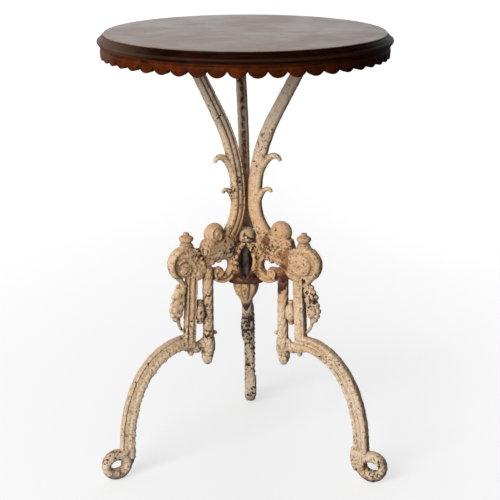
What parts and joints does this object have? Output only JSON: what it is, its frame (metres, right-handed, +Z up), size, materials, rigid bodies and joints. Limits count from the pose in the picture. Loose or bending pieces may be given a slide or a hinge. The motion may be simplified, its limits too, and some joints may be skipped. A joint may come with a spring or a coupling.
{
  "type": "tripod table",
  "caption": "Occasional table with a round scalloped wooden top on scrolled arms and a cast tripod stand with ring feet.",
  "frame": {"origin": "on the floor, on the upright axis of the hub and the round top", "axes": "+Z up along the axis, +Y towards the back leg, +X to the right of the front"},
  "size_m": [0.484, 0.517, 0.737],
  "materials": {
    "painted_iron": "old cream paint, chipped and rusty",
    "rusty_iron": "dark rust",
    "mahogany": "old french polish, worn",
    "steel": "dull"
  },
  "bodies": {
    "root": {"acorn_drop_back": "painted_iron", "acorn_drop_left": "painted_iron", "acorn_drop_right": "painted_iron", "apron_segment_1": "mahogany", "apron_segment_2": "mahogany", "apron_segment_3": "mahogany", "apron_segment_4": "mahogany", "apron_segment_5": "mahogany", "apron_segment_6": "mahogany", "arm_back": "painted_iron", "arm_left": "painted_iron", "arm_right": "painted_iron", "arm_studs": "steel", "bead_back": "painted_iron", "bead_left": "painted_iron", "bead_right": "painted_iron", "cap_nut": "painted_iron", "finial_back": "painted_iron", "finial_left": "painted_iron", "finial_right": "painted_iron", "glue_blocks": "mahogany", "hub_collar": "rusty_iron", "leaf_spray_back": "painted_iron", "leaf_spray_left": "painted_iron", "leaf_spray_right": "painted_iron", "leg_back": "painted_iron", "leg_left": "painted_iron", "leg_right": "painted_iron", "pendant": "painted_iron", "rope_post_back": "painted_iron", "rope_post_left": "painted_iron", "rope_post_right": "painted_iron", "tie_rod": "rusty_iron", "top_board": "mahogany", "top_screws": "steel"}
  },
  "joints": []
}
